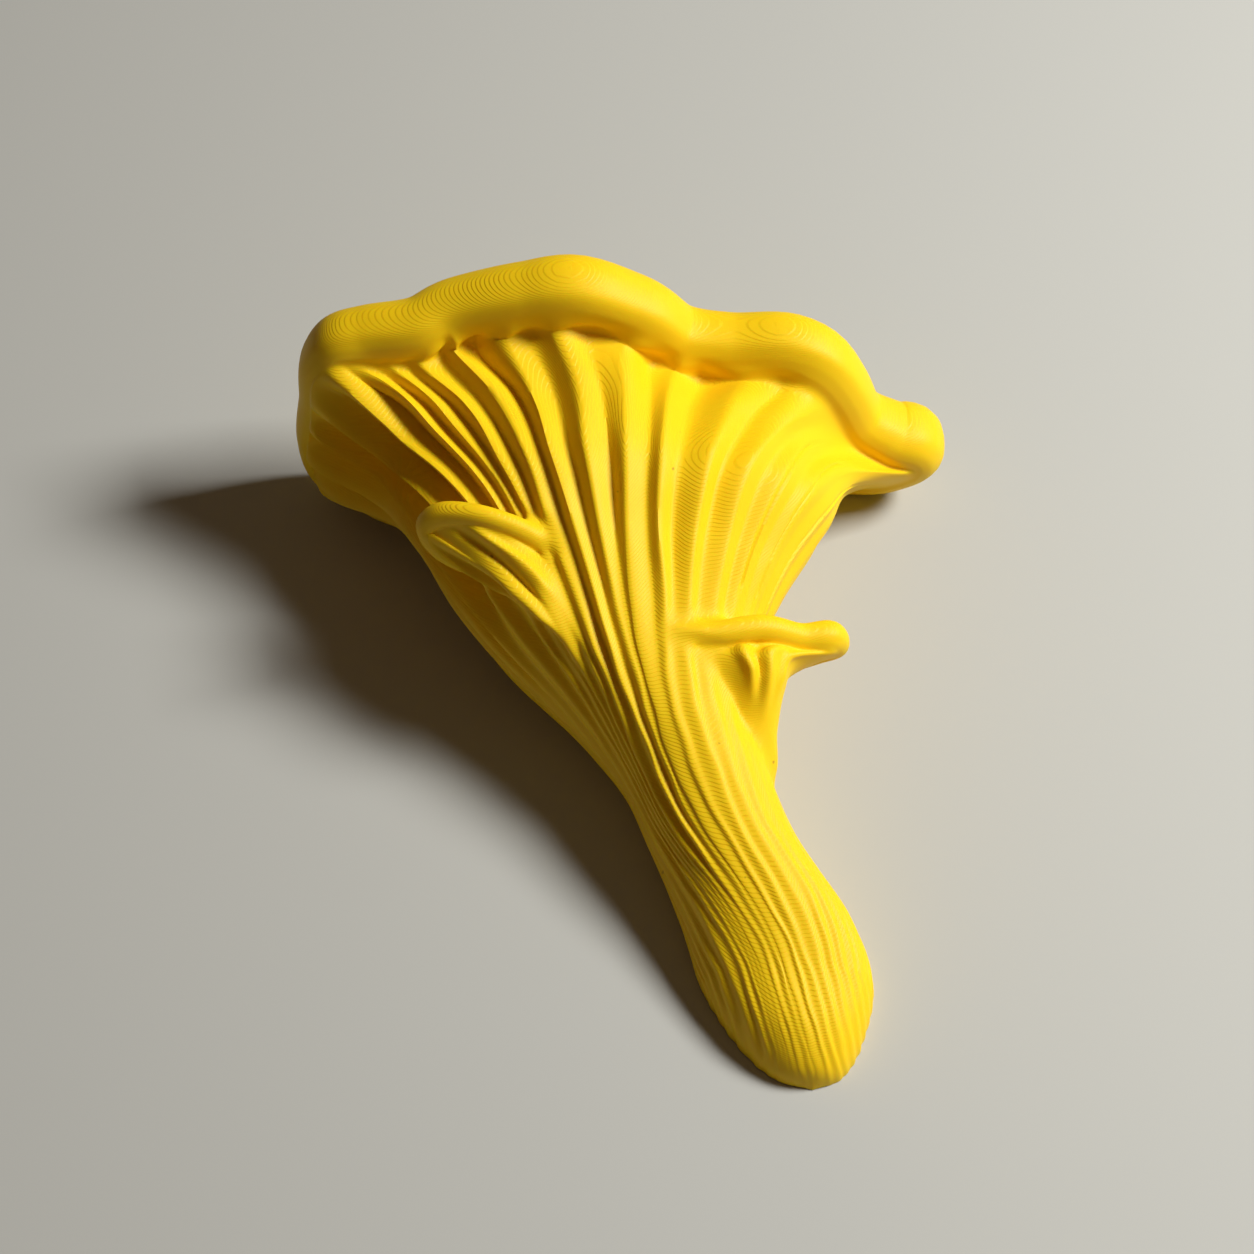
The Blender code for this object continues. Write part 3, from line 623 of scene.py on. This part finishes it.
# %% Body grid
FAN_TO_ROLL = 0.7
FLARE = np.array([0.42, 0.62, 0.42])
FAN_MIDDLE = np.array([-1.0, 26.0, 18.0])
FAN_CAP_DIPS = (0.3, 2.0, 4.0, 5.0)
SURFACE_COLUMNS = 801
POINTS_TO_A_GILL = 12
POINTS_ON_BACK = 9
JUST_BEFORE = 0.01
BODY_SPANS = (
    # from, to, steps
    (0.0, 1.0, 14), (1.0, 3.0, 40), (3.0, 10.0, 130), (10.0, 11.7, 40), (11.7, 14.4, 36), (14.4, 17.4, 20),
)


def body_grid(v, turns):
    """Rows of points from the foot's tip to the cap's middle: smooth_line over the rings, read at the places
    round that the counts in turns stand for, plus gill_height times the outward normal, with z never under 0.
    Up to the cap's rings, both ends of a row are on the table."""
    u = np.linspace(0, 1, SURFACE_COLUMNS)
    rings = [stem_slice(u, row) for row in STEM]
    rings.append(rings[-1] + (roll_line(FAN_RIM, u, 0.0, 1.0, FAN_ROLL_POWER) - rings[-1]) * FLARE)
    places, rings = with_roll_and_cap(
        rings, FAN_RIM, u, FAN_ROLL_POWER, FAN_TO_ROLL, FAN_MIDDLE, FAN_CAP_DIPS, "edge"
    )
    rings[:-len(CAP_SHARES), :, 2] = np.maximum(rings[:-len(CAP_SHARES), :, 2], 0)
    surface = smooth_line(v, places, rings)
    both = np.concatenate([surface, outward_normals(surface)], axis=-1)
    rows = crest_rows(v)
    columns = np.array([np.interp(turns, np.arange(rows.shape[1]), row) for row in rows])
    both = np.array([[np.interp(c, u, line[:, k]) for k in range(6)] for c, line in zip(columns, both)])
    both = both.transpose(0, 2, 1)
    along = np.repeat(v[:, None], columns.shape[1], axis=1)
    height = gill_height(columns, v, rows) + line_heights(columns, along, BODY_LINES)
    grid = both[..., :3] + height[..., None] * both[..., 3:]
    grid[..., 2] = np.maximum(grid[..., 2], 0)
    before_cap = v < places[-len(CAP_SHARES)] - JUST_BEFORE
    grid[before_cap, 0, 2] = 0
    grid[before_cap, -1, 2] = 0
    return grid


def with_flat_back(grid, points):
    """Closes each row along the table: the points between its two feet divide the straight line evenly."""
    shares = np.linspace(0, 1, points + 2)[1:-1, None]
    back = grid[:, -1:] + (grid[:, :1] - grid[:, -1:]) * shares
    return np.concatenate([grid, back], axis=1)


gaps = len(CRESTS) - 1
body_turns = np.linspace(0, 2 * gaps, POINTS_TO_A_GILL * gaps + 1)
body_points = with_flat_back(body_grid(stops(BODY_SPANS), body_turns), POINTS_ON_BACK)
print("body grid:", body_points.shape[0], "rows of", body_points.shape[1], "points")

# %% [markdown]
# ## Side fronds
#
# Each small frond is a cone that starts inside the stem and opens into a rolled rim of its own. The cone is a
# stack of ellipses that lean over, given by their middle and their two half-axes. It goes through the same
# rolling and closing as the fan, with a few ridges of its own.

# %% Frond grids
LEFT_CONE = np.array([
    # middle, half-width, half-height
    ((4.0, -27.0, 15.0), (0.0, 0.0, 0.0), (0.0, 0.0, 0.0)),
    ((-2.6, -18.4, 17.4), (2.6, 0.6, -1.2), (-1.0, 0.5, 2.2)),
    ((-4.5, -15.0, 20.0), (3.5, 0.9, -1.6), (-1.2, 0.8, 2.6)),
    ((-6.8, -11.7, 22.0), (4.4, 1.0, -1.4), (-1.4, 0.9, 3.0)),
    ((-10.8, -8.4, 23.4), (5.0, 0.6, -0.8), (-1.2, 0.8, 3.4)),
])
RIGHT_CONE = np.array([
    ((12.6, -36.0, 6.0), (0.0, 0.0, 0.0), (0.0, 0.0, 0.0)),
    ((14.3, -28.8, 8.4), (4.4, 0.0, -0.7), (0.6, 0.0, 3.9)),
    ((15.0, -23.5, 11.5), (4.0, 0.2, -0.4), (1.4, 0.0, 4.8)),
    ((14.9, -19.4, 14.6), (5.0, 0.4, -0.8), (1.7, 0.0, 5.4)),
    ((15.0, -17.0, 16.2), (6.6, 1.0, -1.2), (1.4, 0.2, 5.0)),
])
LEFT_FROND_LINES = (
    # height in mm, half-width, then the line: place along the surface, share of the way round
    (0.6, 0.018, ((2.4, 0.180), (3.4, 0.185), (4.4, 0.190), (5.2, 0.195))),
    (-0.6, 0.020, ((2.2, 0.225), (3.4, 0.230), (4.4, 0.240), (5.2, 0.250))),
    (1.0, 0.035, ((2.0, 0.300), (2.6, 0.300), (3.2, 0.300), (3.8, 0.305), (4.5, 0.320))),
    (-0.6, 0.025, ((2.6, 0.370), (3.2, 0.370), (3.8, 0.385), (4.4, 0.420), (5.2, 0.460))),
    (0.7, 0.035, ((2.9, 0.450), (3.3, 0.455), (3.7, 0.465), (4.3, 0.490), (5.2, 0.530))),
    (-1.2, 0.055, ((1.4, 0.560), (2.6, 0.580), (3.4, 0.600), (4.0, 0.640), (4.9, 0.700))),
)
RIGHT_FROND_LINES = (
    (0.4, 0.020, ((2.4, 0.350), (3.4, 0.370), (4.4, 0.385), (5.6, 0.390))),
    (0.8, 0.022, ((2.2, 0.470), (3.3, 0.475), (4.0, 0.460), (4.7, 0.430), (5.4, 0.415))),
    (-0.6, 0.018, ((2.2, 0.500), (3.3, 0.510), (4.0, 0.500), (4.7, 0.468), (5.4, 0.450))),
    (0.7, 0.030, ((1.8, 0.535), (3.0, 0.545), (3.8, 0.547), (4.6, 0.540), (5.4, 0.530))),
    (0.5, 0.024, ((2.2, 0.600), (3.4, 0.625), (4.4, 0.620), (5.2, 0.615))),
)
CONE_TO_ROLL = 0.9
FROND_CAP_DIPS = (0.2, 0.8, 1.6, 2.0)
FROND_POINTS_ROUND = 110
FROND_SPANS = ((0.0, 4.9, 44), (4.9, 7.6, 24), (7.6, 10.6, 8))


def frond_grid(cone, rim, lines, u, v):
    """Rings of a frond. An ellipse ring is middle - cos(angle) * tall - sin(angle) * wide, so that u starts
    at the bottom and goes round by the left. The rim's table is extended by a turn each way to close
    smoothly."""
    one_turn = np.array([1.0] + [0] * (rim.shape[1] - 1))
    closed_rim = np.concatenate([rim[-3:-1] - one_turn, rim, rim[1:3] + one_turn])
    angle = 2 * np.pi * u[:, None]
    rings = [middle - np.cos(angle) * tall - np.sin(angle) * wide for middle, wide, tall in cone]
    cap_middle = rim[:-1, 1:4].mean(axis=0)
    places, rings = with_roll_and_cap(
        rings, closed_rim, u, FROND_ROLL_POWER, CONE_TO_ROLL, cap_middle, FROND_CAP_DIPS, "wrap"
    )
    grid = smooth_line(v, places, rings)
    along, around = np.meshgrid(v, u, indexing="ij")
    return grid + line_heights(around, along, lines)[..., None] * outward_normals(grid)


frond_u = np.linspace(0, 1, FROND_POINTS_ROUND, endpoint=False)
frond_v = stops(FROND_SPANS)
left_points = frond_grid(LEFT_CONE, LEFT_RIM, LEFT_FROND_LINES, frond_u, frond_v)
right_points = frond_grid(RIGHT_CONE, RIGHT_RIM, RIGHT_FROND_LINES, frond_u, frond_v)
print("frond grids:", left_points.shape[:2], right_points.shape[:2])

# %% [markdown]
# ## From grids to one mesh
#
# A grid becomes a mesh with one quad for each cell and a fan of triangles round each closing point. The
# fronds are then fused into the body with a Boolean union, so that nothing is left inside. The faces of
# body and fronds get different material numbers for a moment, because that shows afterwards where they
# meet.

# %% Closed meshes
BODY, FROND = 0, 1


def closed_mesh(name, grid, number):
    """A mesh from closed rows: cell corners (i, j), (i, j+1), (i+1, j+1), (i+1, j), with j taken round. The
    first and the last row each become one point."""
    rows, columns = grid.shape[:2]
    points = np.concatenate([grid[:1, 0], grid[1:-1].reshape(-1, 3), grid[-1:, 0]])
    points = (points - FOOTPRINT_MIDDLE) * MM
    first = 1 + np.arange(rows - 2)[:, None] * columns + np.arange(columns)
    after = np.roll(first, -1, axis=1)
    sides = np.stack([first[:-1], after[:-1], after[1:], first[1:]], -1).reshape(-1, 4)
    last = np.full(columns, len(points) - 1)
    start_fan = np.stack([np.zeros(columns, int), after[0], first[0]], -1)
    end_fan = np.stack([last, first[-1], after[-1]], -1)
    mesh = bpy.data.meshes.new(name)
    mesh.from_pydata(points.tolist(), [], sides.tolist() + start_fan.tolist() + end_fan.tolist())
    for _ in (BODY, FROND):
        mesh.materials.append(None)
    mesh.polygons.foreach_set("material_index", np.full(len(mesh.polygons), number, np.int32))
    piece = bpy.data.objects.new(name, mesh)
    bpy.context.scene.collection.objects.link(piece)
    return piece


mushroom = closed_mesh("printed_mushroom", body_points, BODY)
fronds = [closed_mesh("left_frond", left_points, FROND), closed_mesh("right_frond", right_points, FROND)]
print("faces:", [len(piece.data.polygons) for piece in [mushroom, *fronds]])

# %% Fusing the fronds
frond_group = bpy.data.collections.new("fronds")
for frond in fronds:
    bpy.context.scene.collection.objects.unlink(frond)
    frond_group.objects.link(frond)
fuse = mushroom.modifiers.new("fuse_fronds", "BOOLEAN")
fuse.operation = "UNION"
fuse.operand_type = "COLLECTION"
fuse.collection = frond_group
fuse.solver = "MANIFOLD"
fused = bpy.data.meshes.new_from_object(mushroom.evaluated_get(bpy.context.evaluated_depsgraph_get()))
mushroom.modifiers.clear()
mushroom.data = fused
for frond in fronds:
    bpy.data.objects.remove(frond)
bpy.data.collections.remove(frond_group)
print("fused mesh:", len(fused.vertices), "points")

# %% [markdown]
# ## Softening where the pieces meet
#
# A union leaves a sharp crease. Plastic poured or printed from one model has none, and neither has a
# mushroom. A Bevel modifier would need clean edge loops, so the crease is relaxed instead: near it, each
# point moves part of the way to the mean of its neighbours, again and again, and the effect fades out over
# a few millimetres.

# %% Finding the creases
def mesh_points(mesh):
    """All points of a mesh as an array of rows x, y, z."""
    points = np.empty(len(mesh.vertices) * 3, np.float32)
    mesh.vertices.foreach_get("co", points)
    return points.reshape(-1, 3).astype(float)


points = mesh_points(fused)
loop_points = np.empty(len(fused.loops), np.int32)
fused.loops.foreach_get("vertex_index", loop_points)
face_sizes = np.empty(len(fused.polygons), np.int32)
fused.polygons.foreach_get("loop_total", face_sizes)
face_numbers = np.empty(len(fused.polygons), np.int32)
fused.polygons.foreach_get("material_index", face_numbers)
loop_numbers = np.repeat(face_numbers, face_sizes)
touches_body = np.bincount(loop_points, loop_numbers == BODY, len(points)) > 0
touches_frond = np.bincount(loop_points, loop_numbers == FROND, len(points)) > 0
crease = points[touches_body & touches_frond]
print(len(crease), "points on the creases")

# %% Distance from the creases
LOOK_WITHIN = 0.05
FAR = 1.0
BATCHES = 64
near = np.linalg.norm(points - crease.mean(axis=0), axis=1) < LOOK_WITHIN
distance = np.full(len(points), FAR)
for part in np.array_split(np.flatnonzero(near), BATCHES):
    distance[part] = np.sqrt(((points[part, None] - crease[None]) ** 2).sum(-1).min(1))
print(int(near.sum()), "points measured")

# %% Relaxing the creases
CREASE_REACH = 0.0022
FULL_EFFECT_SHARE = 0.15
CREASE_ROUNDS = 40
RELAX_STEP = 0.5


def neighbour_mean(points, ends):
    """The mean of each point's neighbours: sums over the edges that end there, over how many there are."""
    both = np.concatenate([ends, ends[:, ::-1]])
    number = np.bincount(both[:, 0], minlength=len(points))
    sums = [np.bincount(both[:, 0], points[both[:, 1], axis], len(points)) for axis in range(3)]
    return np.stack(sums, -1) / np.maximum(number, 1)[:, None]


ends = np.empty(len(fused.edges) * 2, np.int32)
fused.edges.foreach_get("vertices", ends)
ends = ends.reshape(-1, 2)
weight = 1 - ramp(distance, FULL_EFFECT_SHARE * CREASE_REACH, CREASE_REACH)
for _ in range(CREASE_ROUNDS):
    points += RELAX_STEP * weight[:, None] * (neighbour_mean(points, ends) - points)
print(int((weight > 0).sum()), "points relaxed")

# %% [markdown]
# ## Keeping to the frame
#
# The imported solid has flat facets, so its box is a hair smaller than that of the smooth surface through the
# same points. Scaling each axis about the box's middle by that hair keeps the fine surface inside the
# solid's box. The surface is then shaded smooth, but for the edge round the flat back: smooth shading would
# spread that edge over the faces beside it as a dark band.

# %% Fit to the CAD box
low, high = (np.array(corner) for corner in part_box("oyster_mushroom"))
own_low, own_high = points.min(axis=0), points.max(axis=0)
fit = np.minimum((high - low) / (own_high - own_low), 1.0)
points = (points - (own_low + own_high) / 2) * fit + (low + high) / 2
points[:, 2] += low[2] - points[:, 2].min()
own_size = ((points.max(axis=0) - points.min(axis=0)) / MM).round(2)
print("scaled by", fit.round(4).tolist(), "to", own_size.tolist(), "mm")

# %% Smooth faces, sharp edge
SHARP_EDGE = math.radians(50)
fused.vertices.foreach_set("co", points.astype(np.float32).ravel())
fused.materials.clear()
fused.polygons.foreach_set("material_index", np.zeros(len(fused.polygons), np.int32))
fused.shade_smooth()
fused.set_sharp_from_angle(angle=SHARP_EDGE)
fused.update()
print(len(fused.polygons), "faces")

# %% [markdown]
# ## Yellow plastic with print layers
#
# The model was printed lying flat, so its layers are level, like the contour lines of a map: wide rings on
# top of the rim, close lines on the steep sides. A texture image would need unwrapping and would blur. The
# height of a point already says which layer it is in, so the steps come from Z alone. Each layer is a small
# terrace: seen from the smooth surface it sinks slowly and then jumps back up. The steps are as high as a
# layer on level places and fade out on steep ones, where a printer's beads lie close under each other.

# %% Plastic
plastic = bpy.data.materials.new("yellow_plastic")
plastic.use_nodes = True
nodes = plastic.node_tree.nodes
links = plastic.node_tree.links
shader = nodes["Principled BSDF"]
shader.inputs["Roughness"].default_value = 0.5
shader.inputs["Specular IOR Level"].default_value = 0.2
shader.inputs["Subsurface Weight"].default_value = 0.25
shader.inputs["Subsurface Radius"].default_value = (1.0, 0.4, 0.03)
shader.inputs["Subsurface Scale"].default_value = 0.001
place = nodes.new("ShaderNodeTexCoord")
print("plain plastic with", len(nodes), "nodes")

# %% Small helpers for nodes
def math_node(operation, first, second=None, third=None):
    """A Math node with its inputs linked or set. Returns its output."""
    node = nodes.new("ShaderNodeMath")
    node.operation = operation
    for socket, value in zip(node.inputs, (first, second, third)):
        if value is None:
            continue
        if isinstance(value, (int, float)):
            socket.default_value = value
        else:
            links.new(value, socket)
    return node.outputs[0]


def noise_node(scale, detail):
    """Noise read at Object coordinates, so that it stays with the piece. Returns the noise output, 0 to 1."""
    node = nodes.new("ShaderNodeTexNoise")
    node.inputs["Scale"].default_value = scale
    node.inputs["Detail"].default_value = detail
    links.new(place.outputs["Object"], node.inputs["Vector"])
    return node.outputs["Fac"]


def ramp_node(factor, low, high):
    """0 below low, 1 above high, and a smooth S between them. Returns the result."""
    node = nodes.new("ShaderNodeMapRange")
    node.interpolation_type = "SMOOTHSTEP"
    links.new(factor, node.inputs["Value"])
    node.inputs["From Min"].default_value = low
    node.inputs["From Max"].default_value = high
    return node.outputs["Result"]


def mixed(factor, first, second):
    """The first colour times (1 - factor) plus the second times factor. Each is a colour or a socket."""
    node = nodes.new("ShaderNodeMix")
    node.data_type = "RGBA"
    links.new(factor, node.inputs["Factor"])
    for socket, colour in ((node.inputs["A"], first), (node.inputs["B"], second)):
        if isinstance(colour, tuple):
            socket.default_value = (*colour, 1.0)
        else:
            links.new(colour, socket)
    return node.outputs["Result"]


def parts_of(vector):
    """The X, Y and Z of a vector. Returns the node's outputs."""
    node = nodes.new("ShaderNodeSeparateXYZ")
    links.new(vector, node.inputs[0])
    return node.outputs


position = parts_of(place.outputs["Object"])
facing = parts_of(place.outputs["Normal"])
print("position and facing read from", place.name)

# %% Print layers
LAYER = 0.0002
STEP_DEPTH = 0.3
SINKS_UNTIL = 0.78
LEVEL_FROM, LEVEL_TO = 0.3, 1.05
PATCH_CONTRAST, PATCH_OFFSET = 1.6, -0.1
GRAIN_SIZE = 0.06
layer_count = math_node("MULTIPLY", position["Z"], 1 / LAYER)
terrace = nodes.new("ShaderNodeValToRGB")
terrace.color_ramp.elements[0].position = 0.0
terrace.color_ramp.elements[0].color = (1, 1, 1, 1)
terrace.color_ramp.elements[1].position = SINKS_UNTIL
terrace.color_ramp.elements[1].color = (0, 0, 0, 1)
terrace.color_ramp.elements.new(1.0).color = (1, 1, 1, 1)
links.new(math_node("FRACT", layer_count), terrace.inputs["Fac"])
levelness = ramp_node(facing["Z"], LEVEL_FROM, LEVEL_TO)
patches = math_node("MULTIPLY_ADD", noise_node(scale=160.0, detail=2.0), PATCH_CONTRAST, PATCH_OFFSET)
step_size = math_node("MULTIPLY", levelness, patches)
step_height = math_node("MULTIPLY", terrace.outputs["Color"], step_size)
grain = math_node("MULTIPLY", noise_node(scale=2500.0, detail=2.0), GRAIN_SIZE)
bump = nodes.new("ShaderNodeBump")
bump.inputs["Strength"].default_value = STEP_DEPTH
bump.inputs["Distance"].default_value = LAYER
links.new(math_node("ADD", step_height, grain), bump.inputs["Height"])
links.new(bump.outputs["Normal"], shader.inputs["Normal"])
print("layers of", LAYER / MM, "mm")

# %% [markdown]
# ## Colour
#
# The plastic is one even yellow. A perfectly even colour looks unreal, so it drifts a little between two
# near yellows over a few centimetres, and a few tiny brown specks stand for the burnt bits that a hot
# nozzle leaves.

# %% Yellow with a few specks
BRIGHT_YELLOW = (0.93, 0.62, 0.008)
DEEP_YELLOW = (0.88, 0.54, 0.004)
SPECK_BROWN = (0.35, 0.17, 0.01)
DRIFT = 0.6
SPECKS_FROM, SPECKS_TO = 0.79, 0.84
SPECK_STRENGTH = 0.6
drift = math_node("MULTIPLY", noise_node(scale=45.0, detail=3.0), DRIFT)
clean_yellow = mixed(drift, BRIGHT_YELLOW, DEEP_YELLOW)
specks = ramp_node(noise_node(scale=700.0, detail=1.0), SPECKS_FROM, SPECKS_TO)
specks = math_node("MULTIPLY", specks, SPECK_STRENGTH)
links.new(mixed(specks, clean_yellow, SPECK_BROWN), shader.inputs["Base Color"])
fused.materials.append(plastic)
print("plastic with", len(nodes), "nodes")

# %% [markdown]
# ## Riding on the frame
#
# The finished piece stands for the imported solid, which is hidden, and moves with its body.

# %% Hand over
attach(mushroom, "root")
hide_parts("oyster_mushroom")
